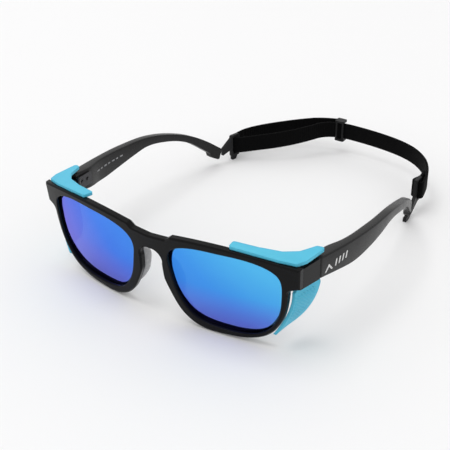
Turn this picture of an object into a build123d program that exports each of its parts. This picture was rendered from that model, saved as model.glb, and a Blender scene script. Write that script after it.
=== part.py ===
from build123d import *

import os
from math import cos, radians, sin, tan

# Glacier glasses, in millimetres.  +X is the wearer's left, +Y runs from the front to the temple
# tips, +Z is up.  The glasses stand on the two rims and on the two strap links.

# Placing of the front: it is wrapped round a large radius and its top leans forward.
BRIDGE_Y = -70.2
LENS_Z = 25.87
LEAN = radians(4.1)
WRAP_RADIUS = 251.0

# Front
RIM_DEPTH = 4.2
LENS_THICKNESS = 2.0
LENS_INSET = 1.5
GROOVE = 1.0
LENS_FIT = 0.05
EDGE_ROUND = 0.5
REAR_CHAMFER = 1.2
EDGE_CHAMFER = 0.7

# Hinge, with its pin upright inside the end piece
HINGE_X = 66.4
HINGE_Y = BRIDGE_Y + 25.5
HINGE_LOW = 33.6
HINGE_HIGH = 40.4
BARREL_RADIUS = 1.4
PIN_RADIUS = 0.6
PIN_CLEARANCE = 0.05
LEAF_THICKNESS = 1.15
LEAF_FACE_X = 68.2
RIVET_RADIUS = 0.55
JOINT_GAP = 0.4
END_PIECE_Y = HINGE_Y - JOINT_GAP / 2
TEMPLE_Y = HINGE_Y + JOINT_GAP / 2
HINGE_MID = (HINGE_LOW + HINGE_HIGH) / 2
FRONT_RIVETS = (HINGE_Y - 6.4, HINGE_Y - 3.6)
TEMPLE_RIVETS = (HINGE_Y + 4.0, HINGE_Y + 8.0)

# Nose pads
PAD_X = 9.7
PAD_UP = -4.0
PAD_TILT = 13.0
PAD_WIDTH = 3.8
PAD_HEIGHT = 20.0
PAD_DEPTH = 6.0
PAD_ROUND = 1.2

# Side shields
SHIELD_THICKNESS = 1.3
FLANGE_THICKNESS = 1.5
FLANGE_INNER_Z = 48.6
FLANGE_OUTER_Z = 45.5
FLANGE_FALL = 0.08
SHIELD_FLARE = 0.18

# Retainer strap
STRAP_WIDTH = 10.0
STRAP_THICKNESS = 1.4
LINK_THICKNESS = 1.9
LINK_WALL = 1.3
LINK_PLAY = 0.6
BAR_RADIUS = 1.2
LOOP_CLEARANCE = 0.8
LOOP_RADIUS = BAR_RADIUS + LOOP_CLEARANCE + STRAP_THICKNESS / 2
SLIDER_X = -8.0
SLIDER_Z = 14.8
SLIDER_RUN_Y = 195.0
SLIDER_LENGTH = 6.0
SLIDER_DEPTH = 5.0
SLIDER_BEND_RADIUS = 6.0
RAIL_THICKNESS = 1.2

# Strap links: the place and heading of each one behind its temple tip
LEFT_FOOT = (62.0, BRIDGE_Y + 138.4)
LEFT_HEADING = 91.0
LEFT_BAR_RUN = 16.5
LEFT_BAR_LOW = 7.8
RIGHT_FOOT = (-60.8, BRIDGE_Y + 142.8)
RIGHT_HEADING = 76.0
RIGHT_BAR_RUN = 12.1
RIGHT_BAR_LOW = 3.6

FRONT = Plane(
    origin=(0, BRIDGE_Y, LENS_Z), x_dir=(1, 0, 0), z_dir=(0, -cos(LEAN), -sin(LEAN))
)
WRAP = Plane(
    origin=(0, BRIDGE_Y, LENS_Z), x_dir=(1, 0, 0), z_dir=(0, -sin(LEAN), cos(LEAN))
)

os.makedirs("parts", exist_ok=True)


def y(distance):
    """A distance behind the bridge, as a Y coordinate."""
    return BRIDGE_Y + distance


def save(builder, name):
    """Label a finished piece and write its STEP file."""
    builder.part.label = name
    export_step(builder.part, f"parts/{name}.step")


def save_pair(builder, name):
    """Write a left piece and its mirror image on the right."""
    save(builder, f"{name}_left")
    with BuildPart() as other:
        mirror(builder.part, about=Plane.YZ)
    save(other, f"{name}_right")


def wrapped_slab(near, far):
    """The space between two depths behind the wrapped front surface."""
    half = 90
    sag = half**2 / (2 * WRAP_RADIUS)
    with BuildPart() as slab:
        with BuildSketch(WRAP):
            with BuildLine():
                front_arc = ThreePointArc((-half, sag + near), (0, near), (half, sag + near))
                rear_arc = ThreePointArc((half, sag + far), (0, far), (-half, sag + far))
                Line(front_arc @ 1, rear_arc @ 0)
                Line(rear_arc @ 1, front_arc @ 0)
            make_face()
        extrude(amount=45, both=True)
    return slab.part


# ---------------------------------------------------------------- front
OPENING = (
    (10.1, 4.5),
    (12.4, 13.8),
    (20.0, 17.2),
    (37.0, 18.7),
    (55.0, 17.4),
    (62.6, 13.0),
    (63.9, 3.0),
    (61.6, -10.5),
    (55.0, -19.0),
    (36.0, -22.8),
    (20.6, -19.3),
    (12.6, -7.0),
)
OPENING_MIDDLE = (37.0, -2.0)
OPENING_HALF_WIDTH = 27.0
OPENING_HALF_HEIGHT = 20.8


def grown(point, margin):
    """A point of the opening's outline, moved away from the middle of the opening."""
    across = 1 + margin / OPENING_HALF_WIDTH
    up = 1 + margin / OPENING_HALF_HEIGHT
    return (
        OPENING_MIDDLE[0] + (point[0] - OPENING_MIDDLE[0]) * across,
        OPENING_MIDDLE[1] + (point[1] - OPENING_MIDDLE[1]) * up,
    )


def opening_prism(margin):
    """A left lens opening, grown by a margin, as a deep prism."""
    with BuildPart() as prism:
        with BuildSketch(FRONT):
            with BuildLine():
                Spline(*[grown(point, margin) for point in OPENING], periodic=True)
            make_face()
        extrude(amount=40, both=True)
    return prism.part


def lens_body(margin, fit):
    """A left lens, or the groove it sits in, which is larger by the fit on every side."""
    with BuildPart() as lens:
        add(opening_prism(margin + fit))
        add(
            wrapped_slab(LENS_INSET - fit, LENS_INSET + LENS_THICKNESS + fit),
            mode=Mode.INTERSECT,
        )
    return lens


opening_left = opening_prism(0)
lens_left = lens_body(GROOVE, 0)
groove_left = lens_body(GROOVE, LENS_FIT)
save_pair(lens_left, "lens")

with BuildPart() as outline_prism:
    with BuildSketch(FRONT):
        with BuildLine():
            bridge_top = Line((0, 17.6), (9.4, 18.4))
            step = Line(bridge_top @ 1, (12.0, 20.4))
            brow = Spline(step @ 1, (21.0, 21.4), (34.0, 22.0), (50.0, 21.4), (72.0, 18.3))
            corner = Line(brow @ 1, (71.6, 8.2))
            under = Line(corner @ 1, (68.6, 7.2))
            notch = ThreePointArc(under @ 1, (67.1, 6.1), (66.6, 4.0))
            rim = Spline(
                notch @ 1,
                (65.6, -3.5),
                (62.8, -12.6),
                (57.0, -20.2),
                (48.0, -24.4),
                (36.0, -25.9),
                (24.0, -25.3),
                (15.9, -20.7),
                (10.7, -13.3),
                (6.9, -5.0),
                (5.9, 4.0),
                tangents=((-0.1, -1.0), (-0.05, 1.0)),
            )
            nose_arc = ThreePointArc(rim @ 1, (5.0, 8.6), (0, 10.2))
            Line(nose_arc @ 1, (0, 17.6))
        make_face()
    extrude(amount=40, both=True)
    mirror(about=Plane.YZ)

# The end pieces run back from the corners of the front to the hinges.
with BuildPart() as end_piece_left:
    with BuildSketch(Plane.XY):
        with BuildLine():
            Polyline(
                (65.8, y(10.2)),
                (71.4, y(11.2)),
                (72.6, END_PIECE_Y),
                (LEAF_FACE_X, END_PIECE_Y),
                (LEAF_FACE_X, y(16.8)),
                (66.4, y(14.4)),
                (65.8, y(13.0)),
                close=True,
            )
        make_face()
    extrude(amount=60)
    with BuildSketch(Plane.YZ):
        with BuildLine():
            Polyline(
                (y(8.0), 34.6),
                (HINGE_Y, 32.1),
                (HINGE_Y, 42.7),
                (y(8.0), 44.4),
                close=True,
            )
        make_face()
    extrude(amount=90, mode=Mode.INTERSECT)


def rivet_pins(places, near, far, radius):
    """Upright pair of round pins along X, between two distances from the middle."""
    with BuildPart() as pins:
        with BuildSketch(Plane.YZ.offset(near)):
            with Locations(*[(y, HINGE_MID) for y in places]):
                Circle(radius)
        extrude(amount=far - near)
    return pins.part


RIVET_END_X = LEAF_FACE_X + 1.6
front_holes_left = rivet_pins(FRONT_RIVETS, LEAF_FACE_X - 3, RIVET_END_X, RIVET_RADIUS)
temple_holes_left = rivet_pins(TEMPLE_RIVETS, LEAF_FACE_X - 3, RIVET_END_X, RIVET_RADIUS)

with BuildPart() as front_frame:
    add(outline_prism.part)
    add(wrapped_slab(0, RIM_DEPTH), mode=Mode.INTERSECT)
    for cut in (opening_left, groove_left.part):
        add(cut, mode=Mode.SUBTRACT)
        mirror(cut, about=Plane.YZ, mode=Mode.SUBTRACT)
    front_face, rear_face = faces().filter_by(lambda f: f.area > 1000).sort_by(Axis.Y)
    chamfer(front_face.outer_wire().edges(), EDGE_CHAMFER)
    front_face, rear_face = faces().filter_by(lambda f: f.area > 1000).sort_by(Axis.Y)
    fillet([e for w in front_face.inner_wires() for e in w.edges()], EDGE_ROUND)
    front_face, rear_face = faces().filter_by(lambda f: f.area > 1000).sort_by(Axis.Y)
    chamfer(rear_face.outer_wire().edges(), REAR_CHAMFER)
    add(end_piece_left.part)
    mirror(end_piece_left.part, about=Plane.YZ)
    add(front_holes_left, mode=Mode.SUBTRACT)
    mirror(front_holes_left, about=Plane.YZ, mode=Mode.SUBTRACT)
save(front_frame, "front_frame")

# Each nose pad is a slim rounded wedge on the back of the rim, beside the nose gap.
with BuildPart() as nose_pad_left:
    with BuildSketch(FRONT):
        with Locations((PAD_X, PAD_UP)):
            SlotOverall(PAD_HEIGHT, PAD_WIDTH, rotation=90 + PAD_TILT)
    extrude(amount=40, both=True)
    add(wrapped_slab(RIM_DEPTH, RIM_DEPTH + PAD_DEPTH), mode=Mode.INTERSECT)
    fillet(faces().sort_by(Axis.Y)[-1].edges(), PAD_ROUND)
save_pair(nose_pad_left, "nose_pad")


# ---------------------------------------------------------------- side shields
# The wall stands behind the rim, follows its outline down and is cut to a curved point.
def shield_sheet():
    """The curved sheet of the left wall and web, seen from the front and drawn out in depth."""
    with BuildPart() as sheet:
        with BuildSketch(Plane.XZ.offset(-y(8.0))):
            with BuildLine():
                Spline((64.2, 47.0), (64.9, 38.0), (66.8, 29.0), (65.2, 19.0), (59.2, 6.0))
            trace(line_width=SHIELD_THICKNESS)
        extrude(amount=30, dir=(SHIELD_FLARE, 1, 0))
    return sheet.part


with BuildPart() as wall_left:
    add(shield_sheet())
    with BuildSketch(Plane.YZ):
        with BuildLine():
            top = Polyline(
                (y(14.6), 46.0),
                (y(14.6), 32.0),
                (y(12.2), 30.4),
                (y(11.2), 20.0),
                (y(8.8), 7.7),
            )
            lower = Spline(
                top @ 1,
                (y(12.6), 10.0),
                (y(17.8), 10.8),
                (y(22.6), 12.2),
                (y(25.6), 16.2),
                (y(27.4), 22.4),
                (y(28.8), 28.2),
            )
            Polyline(
                lower @ 1,
                (y(28.4), 30.6),
                (y(25.5), 31.0),
                (y(21.0), 31.6),
                (y(17.2), 33.0),
                (y(17.2), 46.0),
                (y(14.6), 46.0),
            )
        make_face()
    extrude(amount=90, mode=Mode.INTERSECT)

with BuildPart() as flange_left:
    with BuildSketch(Plane.XY):
        with BuildLine():
            outer = Polyline(
                (40.6, y(3.2)),
                (52.0, y(5.2)),
                (62.0, y(7.6)),
                (69.6, y(10.6)),
                (71.4, y(16.0)),
                (72.0, y(31.0)),
            )
            inner = Polyline(
                outer @ 1,
                (68.4, y(29.6)),
                (65.2, y(20.5)),
                (60.0, y(15.0)),
                (51.0, y(11.0)),
                (39.6, y(8.4)),
            )
            Line(inner @ 1, outer @ 0)
        make_face()
        fillet(vertices(), 1.2)
    extrude(amount=70)
    with BuildSketch(Plane.XZ.offset(-BRIDGE_Y)):
        with BuildLine():
            Polyline(
                (36.0, FLANGE_INNER_Z),
                (52.0, FLANGE_INNER_Z - 0.7),
                (76.0, FLANGE_OUTER_Z),
                (76.0, FLANGE_OUTER_Z + FLANGE_THICKNESS),
                (52.0, FLANGE_INNER_Z - 0.7 + FLANGE_THICKNESS),
                (36.0, FLANGE_INNER_Z + FLANGE_THICKNESS),
                close=True,
            )
        make_face()
    extrude(amount=40, dir=(0, 1, -FLANGE_FALL), mode=Mode.INTERSECT)

with BuildPart() as side_shield_left:
    add(wall_left.part)
    add(flange_left.part)
    add(front_frame.part, mode=Mode.SUBTRACT)
save_pair(side_shield_left, "side_shield")


# ---------------------------------------------------------------- temples
with BuildPart() as temple_left:
    with BuildSketch(Plane.YZ):
        with BuildLine():
            front_edge = Line((TEMPLE_Y, 32.0), (TEMPLE_Y, 42.6))
            top_edge = Spline(
                front_edge @ 1,
                (y(47), 40.6),
                (y(70), 38.6),
                (y(90), 36.2),
                (y(106), 31.8),
                (y(121), 25.4),
                (y(133), 17.6),
                (y(141.4), 10.6),
            )
            tip_end = ThreePointArc(top_edge @ 1, (y(141.9), 7.0), (y(139.6), 3.8))
            lug = Polyline(tip_end @ 1, (y(136.4), 5.6), (y(134.6), 7.2), (y(134.0), 9.6))
            bottom_edge = Spline(
                lug @ 1,
                (y(120), 21.0),
                (y(100), 29.0),
                (y(87), 31.2),
                (y(76), 30.2),
                (y(64), 29.0),
                (y(51), 28.3),
                (y(38), 30.0),
                front_edge @ 0,
            )
        make_face()
    extrude(amount=100)
    with BuildSketch(Plane.XY):
        with BuildLine():
            outer_side = Spline(
                (72.7, TEMPLE_Y),
                (75.4, y(44)),
                (77.1, y(66)),
                (76.2, y(90)),
                (72.6, y(115)),
                (66.6, y(135.2)),
            )
            rear = Polyline(outer_side @ 1, (63.4, y(141.6)), (59.4, y(141.6)))
            inner_side = Spline(
                rear @ 1,
                (62.2, y(135.4)),
                (68.4, y(114)),
                (71.8, y(90)),
                (72.5, y(66)),
                (70.8, y(46)),
                (LEAF_FACE_X, y(36.5)),
            )
            Polyline(inner_side @ 1, (LEAF_FACE_X, TEMPLE_Y), outer_side @ 0)
        make_face()
    extrude(amount=70, mode=Mode.INTERSECT)
    add(temple_holes_left, mode=Mode.SUBTRACT)
save_pair(temple_left, "temple")


# ---------------------------------------------------------------- hinges
def knuckle(low, high, link_start, link_end):
    """One barrel of a leaf, with the short link that joins it to the plate."""
    with BuildPart() as barrel:
        with BuildSketch(Plane.XY.offset(low)):
            with Locations((HINGE_X, HINGE_Y)):
                Circle(BARREL_RADIUS)
        extrude(amount=high - low)
        with BuildSketch(Plane.XY.offset(low)):
            with Locations(((HINGE_X + LEAF_FACE_X) / 2, (link_start + link_end) / 2)):
                Rectangle(LEAF_FACE_X - HINGE_X, abs(link_end - link_start))
        extrude(amount=high - low)
        with BuildSketch(Plane.XY.offset(low - 1)):
            with Locations((HINGE_X, HINGE_Y)):
                Circle(PIN_RADIUS + PIN_CLEARANCE)
        extrude(amount=high - low + 2, mode=Mode.SUBTRACT)
    return barrel.part


def leaf_plate(start, end, places):
    """The plate of a leaf against the plastic, with its rivet holes."""
    with BuildPart() as plate:
        with BuildSketch(Plane.YZ.offset(LEAF_FACE_X)):
            with Locations(((start + end) / 2, HINGE_MID)):
                RectangleRounded(abs(end - start), HINGE_HIGH - HINGE_LOW, 0.8)
        extrude(amount=-LEAF_THICKNESS)
        add(rivet_pins(places, LEAF_FACE_X - 3, RIVET_END_X, RIVET_RADIUS), mode=Mode.SUBTRACT)
    return plate.part


KNUCKLE_GAP = 0.1
KNUCKLE_LOW = HINGE_LOW + 2.3
KNUCKLE_HIGH = HINGE_HIGH - 2.3
PLATE_START = BARREL_RADIUS + 0.35
FRONT_PLATE_Y = HINGE_Y - PLATE_START
TEMPLE_PLATE_Y = HINGE_Y + PLATE_START

with BuildPart() as front_hinge_leaf_left:
    add(leaf_plate(FRONT_PLATE_Y - 6.2, FRONT_PLATE_Y, FRONT_RIVETS))
    add(knuckle(HINGE_LOW, KNUCKLE_LOW, HINGE_Y - 0.3, FRONT_PLATE_Y - 0.6))
    add(knuckle(KNUCKLE_HIGH, HINGE_HIGH, HINGE_Y - 0.3, FRONT_PLATE_Y - 0.6))
save_pair(front_hinge_leaf_left, "front_hinge_leaf")

with BuildPart() as temple_hinge_leaf_left:
    add(leaf_plate(TEMPLE_PLATE_Y, TEMPLE_PLATE_Y + 9.0, TEMPLE_RIVETS))
    add(
        knuckle(
            KNUCKLE_LOW + KNUCKLE_GAP,
            KNUCKLE_HIGH - KNUCKLE_GAP,
            HINGE_Y + 0.3,
            TEMPLE_PLATE_Y + 0.6,
        )
    )
save_pair(temple_hinge_leaf_left, "temple_hinge_leaf")

with BuildPart() as hinge_screw_left:
    with BuildSketch(Plane.XY.offset(HINGE_LOW - 0.3)):
        with Locations((HINGE_X, HINGE_Y)):
            Circle(PIN_RADIUS)
    extrude(amount=HINGE_HIGH - HINGE_LOW + 0.3)
    with BuildSketch(Plane.XY.offset(HINGE_HIGH)):
        with Locations((HINGE_X, HINGE_Y)):
            Circle(1.15)
    extrude(amount=0.8)
    with BuildSketch(Plane.XY.offset(HINGE_HIGH + 0.8)):
        with Locations((HINGE_X, HINGE_Y)):
            Rectangle(3, 0.3)
    extrude(amount=-0.4, mode=Mode.SUBTRACT)
save_pair(hinge_screw_left, "hinge_screw")


def rivets(places):
    """Domed rivets that hold a leaf to the plastic, on the left."""
    head_x = LEAF_FACE_X - LEAF_THICKNESS
    with BuildPart() as group:
        add(rivet_pins(places, head_x, RIVET_END_X, RIVET_RADIUS))
        add(rivet_pins(places, head_x - 0.45, head_x, 1.0))
    return group.part


with BuildPart() as front_leaf_rivets:
    add(rivets(FRONT_RIVETS))
    mirror(rivets(FRONT_RIVETS), about=Plane.YZ)
save(front_leaf_rivets, "front_leaf_rivets")

with BuildPart() as temple_leaf_rivets_left:
    add(rivets(TEMPLE_RIVETS))
save_pair(temple_leaf_rivets_left, "temple_leaf_rivets")


# ---------------------------------------------------------------- retainer strap
def strap_link(foot, heading, bar_run, bar_low, arm):
    """The plastic link behind a temple tip: a foot, an arm and a D frame for the webbing.

    Its outline is drawn along its own heading (degrees from +X) and upwards.
    """
    run = Vector(cos(radians(heading)), sin(radians(heading)), 0)
    side = Vector(run.Y, -run.X, 0)
    plane = Plane(origin=(*foot, 0), x_dir=run, z_dir=side)
    window_start = bar_run - BAR_RADIUS - LOOP_CLEARANCE - STRAP_THICKNESS - 0.6
    window_end = bar_run - BAR_RADIUS
    bar_high = bar_low + STRAP_WIDTH + 2 * LINK_PLAY
    frame_start = window_start - LINK_WALL
    frame_end = bar_run + BAR_RADIUS
    with BuildPart() as link:
        with BuildSketch(plane):
            with BuildLine():
                Polyline(
                    (frame_start, bar_low - LINK_WALL),
                    (frame_end, bar_low - LINK_WALL),
                    (frame_end, bar_high + LINK_WALL),
                    (frame_start, bar_high + LINK_WALL),
                    close=True,
                )
            make_face()
            fillet(vertices(), 0.8)
            with BuildLine():
                Polyline(*arm, close=True)
            make_face()
            with BuildLine():
                Polyline(
                    (window_start, bar_low),
                    (window_end, bar_low),
                    (window_end, bar_high),
                    (window_start, bar_high),
                    close=True,
                )
            make_face(mode=Mode.SUBTRACT)
        extrude(amount=LINK_THICKNESS / 2, both=True)
    return link.part


def bar_centre(foot, heading, bar_run):
    """Where the upright bar of a link stands, in plan."""
    return (
        foot[0] + bar_run * cos(radians(heading)),
        foot[1] + bar_run * sin(radians(heading)),
    )


LEFT_BAR = bar_centre(LEFT_FOOT, LEFT_HEADING, LEFT_BAR_RUN)
RIGHT_BAR = bar_centre(RIGHT_FOOT, RIGHT_HEADING, RIGHT_BAR_RUN)
LEFT_BAR_Z = LEFT_BAR_LOW + LINK_PLAY + STRAP_WIDTH / 2
RIGHT_BAR_Z = RIGHT_BAR_LOW + LINK_PLAY + STRAP_WIDTH / 2

# The left arm starts on a foot under the temple tip and rises to the frame.
LEFT_ARM = ((0.0, 0.0), (3.6, 0.0), (15.2, 6.9), (11.8, 10.4), (4.3, 3.2), (0.0, 2.4))
with BuildPart() as strap_link_left:
    add(strap_link(LEFT_FOOT, LEFT_HEADING, LEFT_BAR_RUN, LEFT_BAR_LOW, LEFT_ARM))
save(strap_link_left, "strap_link_left")

# The right arm starts behind the temple tip, and its foot is under the frame.
RIGHT_ARM = (
    (0.0, 5.4),
    (7.2, 7.4),
    (7.6, 0.0),
    (10.2, 0.0),
    (12.0, 2.8),
    (8.0, 2.9),
    (8.0, 14.2),
    (6.9, 14.6),
    (0.0, 9.6),
)
with BuildPart() as strap_link_right:
    add(strap_link(RIGHT_FOOT, RIGHT_HEADING, RIGHT_BAR_RUN, RIGHT_BAR_LOW, RIGHT_ARM))
save(strap_link_right, "strap_link_right")

# The webbing is one strip on edge.  It is sewn round the left bar, passes through the slider, goes
# round the right bar and comes back to the slider.  Plan route: X, and distance behind the bridge.
ROUTE = (
    (LEFT_BAR[0] + LOOP_RADIUS, LEFT_BAR[1]),
    (61.2, y(168.0)),
    (53.4, y(181.0)),
    (39.0, y(190.8)),
    (14.0, y(SLIDER_RUN_Y)),
    (-15.5, y(SLIDER_RUN_Y)),
    (-25.5, y(178.0)),
    (-36.5, y(167.5)),
    (-48.0, y(160.2)),
    (RIGHT_BAR[0] + 0.5, RIGHT_BAR[1] - 3.2),
    (RIGHT_BAR[0] - 2.7, RIGHT_BAR[1] - 1.75),
    (RIGHT_BAR[0] - 2.7, y(164.5)),
    (-55.0, y(175.5)),
    (-45.5, y(184.6)),
    (-33.5, y(192.2)),
    (-21.5, y(197.4)),
    (-10.4, y(199.1)),
)
SLIDER_BEND = 5
BAR_BENDS = (9, 10)


def bend_radii(points):
    """The largest radius that the two runs beside each corner allow, less at the hardware."""
    radii = []
    for i in range(1, len(points) - 1):
        before = Vector(*points[i]) - Vector(*points[i - 1])
        after = Vector(*points[i + 1]) - Vector(*points[i])
        half_turn = radians(before.get_angle(after)) / 2
        radii.append(0.45 * min(before.length, after.length) / tan(half_turn))
    radii[SLIDER_BEND - 1] = SLIDER_BEND_RADIUS
    for bend in BAR_BENDS:
        radii[bend - 1] = LOOP_RADIUS - 0.1
    return radii


radii = bend_radii(ROUTE)
print("bend radii", [round(r, 1) for r in radii])

with BuildPart() as strap_webbing:
    with BuildSketch(Plane.XY):
        with BuildLine():
            sewn_end = ThreePointArc(
                (LEFT_BAR[0] - LOOP_RADIUS, LEFT_BAR[1]),
                (LEFT_BAR[0], LEFT_BAR[1] - LOOP_RADIUS),
                ROUTE[0],
            )
            run = FilletPolyline(*ROUTE, radius=radii)
            FilletPolyline(
                sewn_end @ 0,
                (61.0, y(159.6)),
                (59.5, y(166.2)),
                radius=4,
            )
        trace(line_width=STRAP_THICKNESS)
    extrude(amount=60)
    with BuildSketch(Plane.XZ):
        with BuildLine():
            FilletPolyline(
                (-75.0, RIGHT_BAR_Z),
                (-52.0, RIGHT_BAR_Z),
                (-17.0, SLIDER_Z),
                (12.0, SLIDER_Z),
                (45.0, SLIDER_Z - 0.4),
                (75.0, LEFT_BAR_Z - 0.4),
                radius=20,
            )
        trace(line_width=STRAP_WIDTH)
    extrude(amount=-250, mode=Mode.INTERSECT)
print("webbing volume", strap_webbing.part.volume, "run length", run.length)
save(strap_webbing, "strap_webbing")

# The slider has two bars in front of the webbing and one behind it, held by two rails.
with BuildPart() as strap_slider:
    for rail in (-1, 1):
        rail_z = SLIDER_Z + rail * (STRAP_WIDTH / 2 + 0.4 + RAIL_THICKNESS / 2)
        with BuildSketch(Plane.XY.offset(rail_z - RAIL_THICKNESS / 2)):
            with Locations((SLIDER_X, y(SLIDER_RUN_Y))):
                RectangleRounded(SLIDER_LENGTH, SLIDER_DEPTH, 0.9)
        extrude(amount=RAIL_THICKNESS)
    with BuildSketch(Plane.XY.offset(SLIDER_Z - STRAP_WIDTH / 2 - 1)):
        with Locations((SLIDER_X, y(SLIDER_RUN_Y))):
            with Locations((-2.1, -1.7), (2.1, -1.7), (0, 1.7)):
                Circle(0.7)
    extrude(amount=STRAP_WIDTH + 2)
save(strap_slider, "strap_slider")
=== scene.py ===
from math import cos, pi, radians, sin, sqrt

import bmesh
import bpy
import numpy as np
from mathutils import Matrix, Vector


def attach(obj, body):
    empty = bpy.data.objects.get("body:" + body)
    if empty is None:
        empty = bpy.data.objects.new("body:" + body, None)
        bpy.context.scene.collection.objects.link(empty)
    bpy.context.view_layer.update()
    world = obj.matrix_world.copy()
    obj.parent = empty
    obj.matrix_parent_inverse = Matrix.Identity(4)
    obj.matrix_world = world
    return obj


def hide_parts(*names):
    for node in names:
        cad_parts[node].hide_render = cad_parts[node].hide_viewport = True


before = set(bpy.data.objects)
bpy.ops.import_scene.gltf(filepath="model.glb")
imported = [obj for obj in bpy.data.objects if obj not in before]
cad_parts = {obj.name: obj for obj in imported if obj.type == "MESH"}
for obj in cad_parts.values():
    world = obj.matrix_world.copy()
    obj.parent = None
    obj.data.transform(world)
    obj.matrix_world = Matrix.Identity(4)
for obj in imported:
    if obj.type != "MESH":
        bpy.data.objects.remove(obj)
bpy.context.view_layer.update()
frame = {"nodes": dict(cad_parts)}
scene = bpy.context.scene
MM = 0.001

# The driving sizes of the part, in millimetres, as part.py has them.
BRIDGE_Y = -70.2
LENS_Z = 25.87
LEAN = radians(4.1)
WRAP_RADIUS = 251.0
SHIELD_FLARE = 0.18
SHIELD_THICKNESS = 1.3


def y(distance):
    """A distance behind the bridge, as a Y coordinate in millimetres."""
    return BRIDGE_Y + distance


# ---------------------------------------------------------------- camera
CAMERA_PLACE = (0.2232, -0.3259, 0.2517)
CAMERA_FOCAL_LENGTH = 71.74


def add_camera():
    """A camera in front of the left lens, above it and rolled a little."""
    azimuth, elevation, roll = radians(35.4), radians(31.17), radians(-1.42)
    forward = Vector(
        (-sin(azimuth) * cos(elevation), cos(azimuth) * cos(elevation), -sin(elevation))
    )
    level = forward.cross(Vector((0, 0, 1))).normalized()
    above = level.cross(forward)
    right = cos(roll) * level + sin(roll) * above
    up = right.cross(forward)
    data = bpy.data.cameras.new("camera")
    data.sensor_width = 36.0
    data.lens = CAMERA_FOCAL_LENGTH
    camera = bpy.data.objects.new("camera", data)
    scene.collection.objects.link(camera)
    turn = Matrix((right, up, -forward)).transposed().to_4x4()
    camera.matrix_world = Matrix.Translation(CAMERA_PLACE) @ turn
    scene.camera = camera


add_camera()


# ---------------------------------------------------------------- mesh helpers
def link_mesh(name, verts, faces, scale=MM):
    """A new smooth-shaded piece from points in millimetres."""
    mesh = bpy.data.meshes.new(name)
    mesh.from_pydata([Vector(v) * scale for v in verts], [], faces)
    bm = bmesh.new()
    bm.from_mesh(mesh)
    bmesh.ops.recalc_face_normals(bm, faces=bm.faces)
    bm.to_mesh(mesh)
    bm.free()
    mesh.shade_smooth()
    obj = bpy.data.objects.new(name, mesh)
    scene.collection.objects.link(obj)
    return obj


def loft(name, sections, scale=MM):
    """A closed skin over closed sections that all have the same number of points."""
    count = len(sections[0])
    verts = [p for section in sections for p in section]
    faces = []
    for i in range(len(sections) - 1):
        for j in range(count):
            k = (j + 1) % count
            a, b = i * count, (i + 1) * count
            faces.append((a + j, a + k, b + k, b + j))
    last = (len(sections) - 1) * count
    faces.append(tuple(range(count)))
    faces.append(tuple(range(last, last + count)))
    return link_mesh(name, verts, faces, scale)


def rounded_square(width, height, radius, corner_steps):
    """Points round a rectangle with rounded corners, centred on the origin."""
    points = []
    for sx, sy, start in ((1, 1, 0), (-1, 1, 90), (-1, -1, 180), (1, -1, 270)):
        for step in range(corner_steps + 1):
            a = radians(start + 90 * step / corner_steps)
            points.append(
                (
                    sx * (width / 2 - radius) + radius * cos(a),
                    sy * (height / 2 - radius) + radius * sin(a),
                )
            )
    return points


def through(points, t):
    """Value at t of a smooth curve through (t, value) pairs."""
    ts = [p[0] for p in points]
    vs = [p[1] for p in points]
    if t <= ts[0]:
        return vs[0]
    if t >= ts[-1]:
        return vs[-1]
    i = max(k for k in range(len(ts) - 1) if ts[k] <= t)

    def slope(k):
        if k == 0:
            return (vs[1] - vs[0]) / (ts[1] - ts[0])
        if k == len(ts) - 1:
            return (vs[-1] - vs[-2]) / (ts[-1] - ts[-2])
        before, after = ts[k] - ts[k - 1], ts[k + 1] - ts[k]
        left = (vs[k] - vs[k - 1]) / before
        right = (vs[k + 1] - vs[k]) / after
        return (left * after + right * before) / (before + after)

    h = ts[i + 1] - ts[i]
    s = (t - ts[i]) / h
    return (
        (2 * s**3 - 3 * s**2 + 1) * vs[i]
        + (s**3 - 2 * s**2 + s) * h * slope(i)
        + (3 * s**2 - 2 * s**3) * vs[i + 1]
        + (s**3 - s**2) * h * slope(i + 1)
    )


def mirrored(obj, name):
    """The same piece on the other side of the middle plane."""
    mesh = obj.data.copy()
    mesh.name = name
    mesh.transform(Matrix.Diagonal((-1, 1, 1, 1)))
    mesh.flip_normals()
    other = bpy.data.objects.new(name, mesh)
    scene.collection.objects.link(other)
    return other


def dress(obj, material, slot, body, *nodes):
    """Give a new piece its material and body, and the CAD nodes it stands for; the slot argument
    is not used.
    """
    obj.data.materials.clear()
    obj.data.materials.append(material)
    if nodes:
        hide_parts(*nodes)
    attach(obj, body)


# ---------------------------------------------------------------- materials
GRAIN_HEIGHT = 0.00004
PLASTIC_GRAIN = 2600.0
PLASTIC_EDGE_ROUND = 0.00035
RUBBER_GRAIN = 3000.0
RUBBER_EDGE_ROUND = 0.0007
BRUSHED_HEIGHT = 0.00003
WEAVE_HEIGHT = 0.00018


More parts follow.
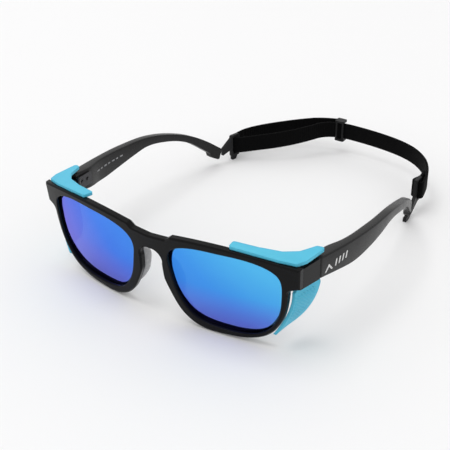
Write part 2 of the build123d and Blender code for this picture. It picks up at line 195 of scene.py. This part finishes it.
class Nodes:
    """A small helper to wire a material's nodes."""

    def __init__(self, name):
        self.material = bpy.data.materials.new(name)
        self.material.use_nodes = True
        self.tree = self.material.node_tree
        self.bsdf = self.tree.nodes["Principled BSDF"]
        self.coords = self.tree.nodes.new("ShaderNodeTexCoord")

    def add(self, kind, **values):
        node = self.tree.nodes.new(kind)
        for key, value in values.items():
            if key in node.inputs:
                node.inputs[key].default_value = value
            else:
                setattr(node, key, value)
        return node

    def link(self, a, b):
        self.tree.links.new(a, b)

    def set(self, **values):
        for key, value in values.items():
            self.bsdf.inputs[key.replace("_", " ")].default_value = value

    def noise(self, scale, detail):
        node = self.add("ShaderNodeTexNoise", Scale=scale, Detail=detail)
        self.link(self.coords.outputs["Object"], node.inputs["Vector"])
        return node

    def ramp(self, source, stops):
        node = self.add("ShaderNodeValToRGB")
        while len(node.color_ramp.elements) < len(stops):
            node.color_ramp.elements.new(0.5)
        for element, (place, colour) in zip(node.color_ramp.elements, stops):
            element.position = place
            element.color = (*colour, 1)
        self.link(source, node.inputs["Fac"])
        return node

    def bump(self, source, distance, strength):
        node = self.add("ShaderNodeBump", Distance=distance, Strength=strength)
        self.link(source, node.inputs["Height"])
        self.link(node.outputs["Normal"], self.bsdf.inputs["Normal"])
        return node


def satin_plastic(name, dark, light, roughness, specular):
    """Moulded plastic with a fine spark-eroded grain and a little wear in its gloss."""
    n = Nodes(name)
    cloud = n.noise(90.0, 4.0)
    tone = n.ramp(cloud.outputs["Fac"], [(0.35, dark), (0.7, light)])
    n.link(tone.outputs["Color"], n.bsdf.inputs["Base Color"])
    gloss = n.ramp(
        n.noise(260.0, 5.0).outputs["Fac"],
        [(0.3, (roughness - 0.04,) * 3), (0.75, (roughness + 0.06,) * 3)],
    )
    n.link(gloss.outputs["Color"], n.bsdf.inputs["Roughness"])
    n.set(Specular_IOR_Level=specular)
    edge = n.add("ShaderNodeBevel", Radius=PLASTIC_EDGE_ROUND)
    surface = n.bump(n.noise(PLASTIC_GRAIN, 2.0).outputs["Fac"], GRAIN_HEIGHT, 0.35)
    n.link(edge.outputs["Normal"], surface.inputs["Normal"])
    return n.material


frame_black = satin_plastic(
    "frame_black", (0.003, 0.003, 0.0033), (0.0045, 0.0045, 0.0049), 0.21, 0.12
)
temple_black = satin_plastic(
    "temple_black", (0.004, 0.004, 0.0044), (0.0055, 0.0055, 0.0059), 0.28, 0.26
)
pad_grey = satin_plastic("pad_grey", (0.33, 0.33, 0.335), (0.4, 0.4, 0.405), 0.26, 0.4)
link_black = satin_plastic("link_black", (0.004, 0.004, 0.0045), (0.007, 0.007, 0.0075), 0.36, 0.2)


def steel():
    """Dark hinge steel, brushed along its height."""
    n = Nodes("hinge_steel")
    brushed = n.add("ShaderNodeTexNoise", Scale=900.0, Detail=2.0)
    stretch = n.add("ShaderNodeMapping")
    stretch.inputs["Scale"].default_value = (1.0, 1.0, 14.0)
    n.link(n.coords.outputs["Object"], stretch.inputs["Vector"])
    n.link(stretch.outputs["Vector"], brushed.inputs["Vector"])
    tone = n.ramp(brushed.outputs["Fac"], [(0.3, (0.05, 0.05, 0.053)), (0.7, (0.09, 0.09, 0.094))])
    n.link(tone.outputs["Color"], n.bsdf.inputs["Base Color"])
    n.set(Metallic=1.0, Roughness=0.32)
    n.bump(brushed.outputs["Fac"], BRUSHED_HEIGHT, 0.4)
    return n.material


hinge_steel = steel()


def rubber(name, dark, light):
    """Soft matte shield rubber."""
    n = Nodes(name)
    cloud = n.noise(120.0, 4.0)
    tone = n.ramp(cloud.outputs["Fac"], [(0.3, dark), (0.75, light)])
    n.link(tone.outputs["Color"], n.bsdf.inputs["Base Color"])
    n.set(Roughness=0.52, Specular_IOR_Level=0.4, Subsurface_Weight=0.12)
    n.bsdf.inputs["Subsurface Radius"].default_value = (0.3, 0.8, 1.0)
    n.bsdf.inputs["Subsurface Scale"].default_value = 0.0015
    edge = n.add("ShaderNodeBevel", Radius=RUBBER_EDGE_ROUND)
    grain = n.bump(n.noise(RUBBER_GRAIN, 2.0).outputs["Fac"], GRAIN_HEIGHT, 0.3)
    n.link(edge.outputs["Normal"], grain.inputs["Normal"])
    return n.material


flange_blue = rubber("shield_blue", (0.07, 0.48, 0.68), (0.085, 0.52, 0.72))


# Colours of the mirror coat, from a view straight at it to a slanting one.
COAT_BY_ANGLE = [
    (0.24, (0.09, 0.55, 1.0)),
    (0.33, (0.05, 0.34, 1.0)),
    (0.49, (0.05, 0.215, 1.0)),
    (0.60, (0.18, 0.17, 0.90)),
]
COAT_LOW_COLOUR = (0.18, 0.16, 0.83, 1.0)
COAT_LOW_HEIGHT = 0.003
COAT_FULL_HEIGHT = 0.024
COAT_SHARE = 0.84
LENS_TINT = (0.31, 0.72, 0.85, 1.0)


def mirror_lens():
    """A tinted lens under a blue mirror coat, violet at a slant and near the lower edge."""
    n = Nodes("lens_mirror")
    n.material.surface_render_method = "BLENDED"
    facing = n.add("ShaderNodeLayerWeight", Blend=0.5)
    tint = n.ramp(facing.outputs["Facing"], COAT_BY_ANGLE)
    mottle = n.noise(60.0, 2.0)
    tone = n.add("ShaderNodeMix", data_type="RGBA")
    tone.blend_type = "MULTIPLY"
    shade = n.ramp(mottle.outputs["Fac"], [(0.0, (0.96, 0.96, 0.98)), (1.0, (1.0, 1.0, 1.0))])
    tone.inputs[0].default_value = 1.0
    n.link(tint.outputs["Color"], tone.inputs[6])
    n.link(shade.outputs["Color"], tone.inputs[7])
    place = n.add("ShaderNodeSeparateXYZ")
    n.link(n.coords.outputs["Object"], place.inputs["Vector"])
    height = n.add("ShaderNodeMapRange")
    height.inputs["From Min"].default_value = COAT_LOW_HEIGHT
    height.inputs["From Max"].default_value = COAT_FULL_HEIGHT
    n.link(place.outputs["Z"], height.inputs["Value"])
    coat = n.add("ShaderNodeMix", data_type="RGBA")
    coat.inputs[6].default_value = COAT_LOW_COLOUR
    n.link(height.outputs["Result"], coat.inputs[0])
    n.link(tone.outputs[2], coat.inputs[7])
    n.link(coat.outputs[2], n.bsdf.inputs["Base Color"])
    n.set(Metallic=1.0, Roughness=0.06)
    clear = n.add("ShaderNodeBsdfTransparent", Color=LENS_TINT)
    mix = n.add("ShaderNodeMixShader", Fac=COAT_SHARE)
    output = n.tree.nodes["Material Output"]
    n.link(clear.outputs[0], mix.inputs[1])
    n.link(n.bsdf.outputs[0], mix.inputs[2])
    n.link(mix.outputs[0], output.inputs["Surface"])
    return n.material


lens_mirror = mirror_lens()


def smoke_back():
    """The uncoated back of the lens: smoke grey, which darkens the view through it."""
    n = Nodes("lens_back")
    mottle = n.noise(60.0, 2.0)
    tint = n.ramp(mottle.outputs["Fac"], [(0.0, (0.44, 0.47, 0.47)), (1.0, (0.48, 0.51, 0.51))])
    clear = n.add("ShaderNodeBsdfTransparent")
    n.link(tint.outputs["Color"], clear.inputs["Color"])
    n.link(clear.outputs[0], n.tree.nodes["Material Output"].inputs["Surface"])
    n.material.surface_render_method = "BLENDED"
    return n.material


lens_back = smoke_back()


def webbing():
    """Black polyester webbing: fine ribs across it, a darker valley between each."""
    n = Nodes("webbing_black")
    wave = n.add("ShaderNodeTexWave", Scale=1.0, Distortion=0.4, Detail=1.0)
    wave.bands_direction = "X"
    stretch = n.add("ShaderNodeMapping")
    stretch.inputs["Scale"].default_value = (420.0, 420.0, 900.0)
    n.link(n.coords.outputs["Object"], stretch.inputs["Vector"])
    n.link(stretch.outputs["Vector"], wave.inputs["Vector"])
    fuzz = n.noise(5200.0, 3.0)
    both = n.add("ShaderNodeMath", operation="ADD")
    n.link(wave.outputs["Fac"], both.inputs[0])
    n.link(fuzz.outputs["Fac"], both.inputs[1])
    tone = n.ramp(
        fuzz.outputs["Fac"], [(0.3, (0.0012, 0.0012, 0.0014)), (0.75, (0.003, 0.003, 0.0032))]
    )
    n.link(tone.outputs["Color"], n.bsdf.inputs["Base Color"])
    n.set(Roughness=0.88, Specular_IOR_Level=0.06, Sheen_Weight=0.02, Sheen_Roughness=0.5)
    n.bump(both.outputs[0], WEAVE_HEIGHT, 0.8)
    return n.material


webbing_black = webbing()

# ---------------------------------------------------------------- strap
def bar_place(foot, heading, run):
    """Where a strap link's bar stands: X and distance behind the bridge, from the link's foot."""
    return (foot[0] + run * cos(radians(heading)), foot[1] + run * sin(radians(heading)))


LEFT_BAR = bar_place((62.0, 138.4), 91, 16.5)
RIGHT_BAR = bar_place((-60.8, 142.8), 76, 12.1)
LOOP_RADIUS = 2.7
STRAP_WIDTH = 0.010
STRAP_THICKNESS = 0.0014
STRAP_EDGE_ROUND = 0.36
STRAP_HEIGHTS = ((-75, 9.2), (-52, 9.2), (-17, 14.8), (12, 14.8), (45, 14.4), (75, 13.0))

# The route of part.py: X, and distance behind the bridge, after the end sewn round the left bar.
SEWN_END = (
    (59.5, 166.2),
    (61.0, 159.6),
    (LEFT_BAR[0] - LOOP_RADIUS, LEFT_BAR[1]),
    (LEFT_BAR[0] - LOOP_RADIUS, LEFT_BAR[1] - LOOP_RADIUS),
    (LEFT_BAR[0] + LOOP_RADIUS, LEFT_BAR[1] - LOOP_RADIUS),
)
ROUTE = (
    (LEFT_BAR[0] + LOOP_RADIUS, LEFT_BAR[1]),
    (61.2, 168.0),
    (53.4, 181.0),
    (39.0, 190.8),
    (14.0, 195.0),
    (-15.5, 195.0),
    (-25.5, 178.0),
    (-36.5, 167.5),
    (-48.0, 160.2),
    (RIGHT_BAR[0] + 0.5, RIGHT_BAR[1] - 3.2),
    (RIGHT_BAR[0] - LOOP_RADIUS, RIGHT_BAR[1] - 1.75),
    (RIGHT_BAR[0] - LOOP_RADIUS, 164.5),
    (-55.0, 175.5),
    (-45.5, 184.6),
    (-33.5, 192.2),
    (-21.5, 197.4),
    (-10.4, 199.1),
)


def strap_height(x):
    """Height of the middle of the webbing at x."""
    return float(np.interp(x, [h[0] for h in STRAP_HEIGHTS], [h[1] for h in STRAP_HEIGHTS]))


def nurbs_line(name, plan_points):
    """Points of a smooth NURBS line, in metres, with the route's points as its control points."""
    data = bpy.data.curves.new(name, "CURVE")
    data.dimensions = "3D"
    spline = data.splines.new("NURBS")
    spline.points.add(len(plan_points) - 1)
    for point, (x, along) in zip(spline.points, plan_points):
        point.co = (x * MM, y(along) * MM, strap_height(x) * MM, 1)
    spline.order_u = 3
    spline.use_endpoint_u = True
    spline.resolution_u = 10
    holder = bpy.data.objects.new(name, data)
    mesh = bpy.data.meshes.new_from_object(holder)
    line = [v.co.copy() for v in mesh.vertices]
    bpy.data.meshes.remove(mesh)
    bpy.data.objects.remove(holder)
    bpy.data.curves.remove(data)
    return line


def ribbon(name, line, width, thickness):
    """Webbing on edge: its width stands up and its thickness lies across the line."""
    profile = rounded_square(thickness, width, thickness * STRAP_EDGE_ROUND, 3)
    sections = []
    for i, point in enumerate(line):
        ahead = line[min(i + 1, len(line) - 1)] - line[max(i - 1, 0)]
        across = ahead.cross(Vector((0, 0, 1))).normalized()
        upward = across.cross(ahead).normalized()
        sections.append([point + across * a + upward * b for a, b in profile])
    return loft(name, sections, 1.0)


strap_line = nurbs_line("strap_line", SEWN_END + ROUTE)
strap = ribbon("strap_webbing_piece", strap_line, STRAP_WIDTH, STRAP_THICKNESS)
dress(strap, webbing_black, "webbing", "strap", "strap_webbing")

# ---------------------------------------------------------------- CAD nodes that stay
nodes = frame["nodes"]
KEPT = {
    "front_frame": frame_black,
    "front_hinge_leaf_left": hinge_steel,
    "front_hinge_leaf_right": hinge_steel,
    "temple_hinge_leaf_left": hinge_steel,
    "temple_hinge_leaf_right": hinge_steel,
    "front_leaf_rivets": hinge_steel,
    "temple_leaf_rivets_left": hinge_steel,
    "temple_leaf_rivets_right": hinge_steel,
    "hinge_screw_left": hinge_steel,
    "hinge_screw_right": hinge_steel,
    "strap_slider": link_black,
    "strap_link_left": link_black,
    "strap_link_right": link_black,
    "side_shield_left": flange_blue,
    "side_shield_right": flange_blue,
}
for name, material in KEPT.items():
    nodes[name].data.materials.clear()
    nodes[name].data.materials.append(material)

# ---------------------------------------------------------------- lenses
OPENING = (
    (10.1, 4.5),
    (12.4, 13.8),
    (20.0, 17.2),
    (37.0, 18.7),
    (55.0, 17.4),
    (62.6, 13.0),
    (63.9, 3.0),
    (61.6, -10.5),
    (55.0, -19.0),
    (36.0, -22.8),
    (20.6, -19.3),
    (12.6, -7.0),
)
OPENING_MIDDLE = (37.0, -2.0)


def on_front(across, up, depth):
    """A point at a height on the leaning front and a depth behind it, in millimetres."""
    return Vector(
        (
            across,
            BRIDGE_Y + depth * cos(LEAN) - up * sin(LEAN),
            LENS_Z + depth * sin(LEAN) + up * cos(LEAN),
        )
    )


def outline(points, steps):
    """Evenly stepped points of a closed smooth curve through the given points."""
    count = len(points)
    result = []
    for i in range(count):
        p0, p1, p2, p3 = (Vector(points[(i + k) % count]) for k in (-1, 0, 1, 2))
        t1 = sqrt((p1 - p0).length)
        t2 = t1 + sqrt((p2 - p1).length)
        t3 = t2 + sqrt((p3 - p2).length)
        for step in range(steps):
            t = t1 + (t2 - t1) * step / steps
            a1 = p0 * ((t1 - t) / t1) + p1 * (t / t1)
            a2 = p1 * ((t2 - t) / (t2 - t1)) + p2 * ((t - t1) / (t2 - t1))
            a3 = p2 * ((t3 - t) / (t3 - t2)) + p3 * ((t - t2) / (t3 - t2))
            b1 = a1 * ((t2 - t) / t2) + a2 * (t / t2)
            b2 = a2 * ((t3 - t) / (t3 - t1)) + a3 * ((t - t1) / (t3 - t1))
            result.append(b1 * ((t2 - t) / (t2 - t1)) + b2 * ((t - t1) / (t2 - t1)))
    return result


LENS_BULGE_RADIUS = 300.0
LENS_SET_BACK = 1.4
LENS_THICKNESS = 1.6
LENS_EDGE = 0.7
LENS_RINGS = 14
LENS_EDGE_STEPS = 10


def lens_depth(across, up):
    """Depth of the lens's front behind the front of the frame: round both ways."""
    wrap = across**2 / (2 * WRAP_RADIUS)
    return LENS_SET_BACK + wrap + (up - OPENING_MIDDLE[1]) ** 2 / (2 * LENS_BULGE_RADIUS)


def lens(name):
    """A bulging lens a little larger than its opening, in rings of faces round its middle."""
    edge = outline(OPENING, LENS_EDGE_STEPS)
    middle = Vector(OPENING_MIDDLE)
    rings = LENS_RINGS
    verts, faces = [], []
    for thickness in (0.0, LENS_THICKNESS):
        verts.append(on_front(*middle, lens_depth(*middle) + thickness))
        for ring in range(1, rings + 1):
            for point in edge:
                out = (point - middle) * (1 + LENS_EDGE / (point - middle).length)
                place = middle + out * ring / rings
                verts.append(on_front(*place, lens_depth(*place) + thickness))
    count = len(edge)
    sheet = 1 + rings * count
    for base in (0, sheet):
        for j in range(count):
            faces.append((base, base + 1 + j, base + 1 + (j + 1) % count))
        for ring in range(rings - 1):
            a, b = base + 1 + ring * count, base + 1 + (ring + 1) * count
            for j in range(count):
                k = (j + 1) % count
                faces.append((a + j, b + j, b + k, a + k))
    front, rear = 1 + (rings - 1) * count, sheet + 1 + (rings - 1) * count
    for j in range(count):
        k = (j + 1) % count
        faces.append((front + j, rear + j, rear + k, front + k))
    obj = link_mesh(name, verts, faces)
    fronts = count + (rings - 1) * count
    for i, polygon in enumerate(obj.data.polygons):
        polygon.material_index = 0 if i < fronts else 1
    return obj


lens_left = lens("lens_piece_left")
lens_right = mirrored(lens_left, "lens_piece_right")
for piece, node in ((lens_left, "lens_left"), (lens_right, "lens_right")):
    finishes = [polygon.material_index for polygon in piece.data.polygons]
    dress(piece, lens_mirror, "lens", "front", node)
    piece.data.materials.append(lens_back)
    for polygon, index in zip(piece.data.polygons, finishes):
        polygon.material_index = index

# ---------------------------------------------------------------- temples
TEMPLE_THICKNESS = 4.4
TEMPLE_EDGE_ROUND = 0.75
TIP_SLANT = 1.8
TIP_SLANT_START = 100
TIP_SLANT_RUN = 39.6
TIP_ROUND_START = 139
TIP_END_START = 139.5

# Pairs of a distance behind the bridge with a height, or with a distance from the middle plane.
TOP_EDGE = (
    (25.7, 42.6),
    (47, 40.6),
    (70, 38.6),
    (90, 36.2),
    (106, 31.8),
    (121, 25.4),
    (133, 17.6),
    (141.4, 10.6),
)
BOTTOM_EDGE = (
    (25.7, 32.0),
    (38, 30.0),
    (51, 28.3),
    (64, 29.0),
    (76, 30.2),
    (87, 31.2),
    (100, 29.0),
    (120, 21.0),
    (134.0, 9.6),
)
TIP_LUG = ((134.0, 9.6), (134.6, 7.2), (136.4, 5.6), (139.6, 3.8))
OUTER_SIDE = ((25.7, 72.7), (44, 75.4), (66, 77.1), (90, 76.2), (115, 72.6), (135.2, 66.6))
TIP_CUT = ((135.2, 66.6), (141.6, 63.4))
INNER_SIDE = (
    (25.7, 68.2),
    (36.5, 68.2),
    (46, 70.8),
    (66, 72.5),
    (90, 71.8),
    (114, 68.4),
    (135.4, 62.2),
    (141.6, 59.4),
)


def outer_side(along):
    """X of the left temple's outer side."""
    if along <= TIP_CUT[0][0]:
        return through(OUTER_SIDE, along)
    return float(np.interp(along, [p[0] for p in TIP_CUT], [p[1] for p in TIP_CUT]))


def inner_side(along):
    """X of the left temple's inner side."""
    return through(INNER_SIDE, along)


def bottom_height(along):
    """Height of the temple's underside, down round the lug at the tip."""
    if along <= TIP_LUG[0][0]:
        return through(BOTTOM_EDGE, along)
    return float(np.interp(along, [p[0] for p in TIP_LUG], [p[1] for p in TIP_LUG]))


def temple_section(top_along, bottom_along, shrink):
    """One rounded section between a place on the top edge and one on the bottom edge."""
    top, low = through(TOP_EDGE, top_along), bottom_height(bottom_along)
    height = max(sqrt((top - low) ** 2 + (top_along - bottom_along) ** 2), 0.5)
    profile = rounded_square(
        TEMPLE_THICKNESS - shrink, height - shrink, TEMPLE_EDGE_ROUND - shrink / 3, 4
    )
    section = []
    for a, b in profile:
        share = b / height + 0.5
        along = bottom_along + (top_along - bottom_along) * share
        outer, inner = outer_side(along), inner_side(along)
        across = (outer + inner) / 2 + a * (outer - inner) / TEMPLE_THICKNESS
        section.append((across, y(along), low + (top - low) * share))
    return section


def temple(name):
    """The left temple, in sections that shrink at both ends and slant towards the tip."""
    places = [25.7, 25.9, 26.3] + [27 + 2.0 * i for i in range(53)]
    places += [132.6, 133.6, 134.0, 134.3, 134.6, 135.5, 136.4, 137.2, 138.0, 138.8, 139.3, 139.6]
    sections = []
    for i, place in enumerate(places):
        slant = TIP_SLANT * max(0.0, (place - TIP_SLANT_START) / TIP_SLANT_RUN) ** 1.5
        shrink = (0.9, 0.3, 0.0)[i] if i < 3 else 0.0
        if place > TIP_ROUND_START:
            shrink = 0.4 if place < TIP_END_START else 0.9
        sections.append(temple_section(place + slant, place, shrink))
    return loft(name, sections)


temple_left = temple("temple_piece_left")
temple_right = mirrored(temple_left, "temple_piece_right")
dress(temple_left, temple_black, "temple", "left_temple", "temple_left")
dress(temple_right, temple_black, "temple", "right_temple", "temple_right")


# ---------------------------------------------------------------- nose pads
PAD_SECTIONS = 24
PAD_SIDES = 28
PAD_TOP = 6.4
PAD_LENGTH = 20.4
PAD_ACROSS = 9.3
PAD_SPLAY = 0.26
PAD_HALF_WIDTH = 2.3
PAD_NEAR = 3.2
PAD_FAR = 3.9
PAD_DEPTH = 6.6


def nose_pad(name):
    """A soft rounded pad, widest below its middle, on the back of the rim."""
    sections = []
    for step in range(PAD_SECTIONS + 1):
        t = step / PAD_SECTIONS
        up = PAD_TOP - PAD_LENGTH * t
        full = max(1 - abs(2 * t - 1) ** 3.2, 0.004)
        across = PAD_ACROSS - (4.0 + up) * PAD_SPLAY
        half_width = PAD_HALF_WIDTH * full**0.5
        near, far = PAD_NEAR, PAD_FAR + PAD_DEPTH * (full * (0.72 + 0.28 * t)) ** 0.75
        section = []
        for k in range(PAD_SIDES):
            a = 2 * pi * k / PAD_SIDES
            u = abs(cos(a)) ** 0.8 * (1 if cos(a) > 0 else -1)
            w = abs(sin(a)) ** 0.8 * (1 if sin(a) > 0 else -1)
            depth = (near + far) / 2 + w * (far - near) / 2
            section.append(on_front(across + u * half_width, up, depth))
        sections.append(section)
    return loft(name, sections)


pad_left = nose_pad("nose_pad_piece_left")
pad_right = mirrored(pad_left, "nose_pad_piece_right")
dress(pad_left, pad_grey, "nose_pad", "front", "nose_pad_left")
dress(pad_right, pad_grey, "nose_pad", "front", "nose_pad_right")


# ---------------------------------------------------------------- shield ribs
SHIELD_SHEET = ((6.0, 59.2), (19.0, 65.2), (29.0, 66.8), (38.0, 64.9), (47.0, 64.2))


def shield_skin(along, height, lift):
    """A point a little outside the left shield wall."""
    middle = through(SHIELD_SHEET, height) + SHIELD_FLARE * (along - 8.0)
    return (middle + SHIELD_THICKNESS / 2 + lift, y(along), height)


RIB_START = 12.2
RIB_STEP = 0.36
RIB_STEPS = 41
RIB_SLOPE = 0.9
RIB_RISE = 0.34
RIB_LOWEST = 12.6
RIB_HIGHEST = 28.6
RIB_COUNT = 17
RIB_PITCH = 1.7
RIB_REAR_LIMIT = ((12.0, 19.4), (16.2, 23.4), (22.4, 25.4), (29.0, 26.8))


def shield_rib(start):
    """One thin slanting rib, inside the plain border of the wall."""
    points = []
    for step in range(RIB_STEPS):
        along, height = RIB_START + RIB_STEP * step, start - RIB_SLOPE * RIB_STEP * step
        if RIB_LOWEST < height < RIB_HIGHEST and along < through(RIB_REAR_LIMIT, height):
            points.append((along, height))
    sections = []
    for i, (along, height) in enumerate(points):
        rise = RIB_RISE * min(1.0, (i + 0.2) / 2, (len(points) - 0.8 - i) / 2)
        sections.append(
            [
                shield_skin(along + 0.34, height + 0.3, -0.3),
                shield_skin(along + 0.16, height + 0.14, rise),
                shield_skin(along - 0.16, height - 0.14, rise),
                shield_skin(along - 0.34, height - 0.3, -0.3),
            ]
        )
    return sections if len(points) > 6 else None


def join(name, pieces):
    """One object made of several."""
    bm = bmesh.new()
    for piece in pieces:
        bm.from_mesh(piece.data)
        mesh = piece.data
        bpy.data.objects.remove(piece)
        bpy.data.meshes.remove(mesh)
    mesh = bpy.data.meshes.new(name)
    bm.to_mesh(mesh)
    bm.free()
    obj = bpy.data.objects.new(name, mesh)
    scene.collection.objects.link(obj)
    return obj


rib_sections = [shield_rib(13.0 + RIB_PITCH * i) for i in range(RIB_COUNT)]
ribs_left = join(
    "shield_ribs_left", [loft(f"rib_{i}", r) for i, r in enumerate(rib_sections) if r]
)
ribs_right = mirrored(ribs_left, "shield_ribs_right")
dress(ribs_left, flange_blue, "shield", "front")
dress(ribs_right, flange_blue, "shield", "front")


# ---------------------------------------------------------------- printed marks
PRINT_LIFT = 0.04


def mark(name, side, shapes):
    """Flat printed shapes on a side of the left temple, from (along, height) outlines."""
    lift = PRINT_LIFT if side is outer_side else -PRINT_LIFT
    pieces = []
    for i, shape in enumerate(shapes):
        inside = [(side(a) + lift, y(a), h) for a, h in shape]
        beneath = [(x - lift * 1.6, yy, h) for x, yy, h in inside]
        pieces.append(loft(f"{name}_{i}", [inside, beneath]))
    return join(name, pieces)


def printed(name, tone):
    """Print in one ink, a little uneven."""
    n = Nodes(name)
    worn = tuple(v * 0.85 for v in tone)
    shade = n.ramp(n.noise(400.0, 3.0).outputs["Fac"], [(0.3, tone), (0.8, worn)])
    n.link(shade.outputs["Color"], n.bsdf.inputs["Base Color"])
    n.set(Roughness=0.5)
    return n.material


print_white = printed("print_white", (0.8, 0.8, 0.8))
print_grey = printed("print_grey", (0.30, 0.30, 0.31))


def chevron(along, height, size):
    """A plain peak-shaped stroke."""
    return (
        (along, height),
        (along + size * 0.5, height + size * 0.62),
        (along + size, height),
        (along + size * 0.8, height),
        (along + size * 0.5, height + size * 0.36),
        (along + size * 0.2, height),
    )


def stroke(along, height, size):
    """A short slanting stroke."""
    return (
        (along, height),
        (along + 0.9, height),
        (along + 1.7, height + size),
        (along + 0.8, height + size),
    )


def bar(along, height, length, thick):
    """A short bar that falls a little towards the tip."""
    fall = 0.04 * length
    return (
        (along, height),
        (along + length, height - fall),
        (along + length, height - fall + thick),
        (along, height + thick),
    )


# The mark is generic: a peak and four strokes on the outside, short bars on the inside.
outer_mark = mark(
    "temple_mark_left",
    outer_side,
    [chevron(28.6, 33.4, 5.6), *(stroke(35.6 + 2.5 * i, 33.7 + 0.1 * i, 3.4) for i in range(4))],
)
dress(outer_mark, print_white, "temple", "left_temple")
inner_mark = mark(
    "temple_print_right",
    inner_side,
    [bar(44 + 3.4 * i, 35.2 - 0.12 * i, 2.3 - 0.5 * (i % 2), 0.8) for i in range(7)],
)
inner_mark.data.transform(Matrix.Diagonal((-1, 1, 1, 1)))
inner_mark.data.flip_normals()
dress(inner_mark, print_grey, "temple", "right_temple")


# ---------------------------------------------------------------- stage
def add_floor():
    """A plain pale floor."""
    bpy.ops.mesh.primitive_plane_add(size=8, location=(0, 0, 0))
    floor = bpy.context.object
    floor.name = "floor"
    n = Nodes("floor_pale")
    n.set(Roughness=0.6, Specular_IOR_Level=0.25)
    cloud = n.noise(2.0, 2.0)
    tone = n.ramp(cloud.outputs["Fac"], [(0.0, (0.86, 0.86, 0.865)), (1.0, (0.88, 0.88, 0.885))])
    n.link(tone.outputs["Color"], n.bsdf.inputs["Base Color"])
    floor.data.materials.append(n.material)


def add_light(name, place, aim, size, power):
    """A soft rectangular lamp, turned towards its aim."""
    data = bpy.data.lights.new(name, "AREA")
    data.shape = "RECTANGLE"
    data.size, data.size_y = size
    data.energy = power
    light = bpy.data.objects.new(name, data)
    light.location = place
    light.rotation_euler = (Vector(aim) - Vector(place)).to_track_quat("-Z", "Y").to_euler()
    scene.collection.objects.link(light)


add_floor()
add_light("key", (-0.8, -0.25, 3.9), (0, 0, 0), (2.6, 2.6), 55)
world = bpy.data.worlds.new("world")
world.use_nodes = True
world.node_tree.nodes["Background"].inputs["Color"].default_value = (1.0, 0.997, 0.993, 1)
world.node_tree.nodes["Background"].inputs["Strength"].default_value = 0.82
scene.world = world
scene.view_settings.view_transform = "Standard"
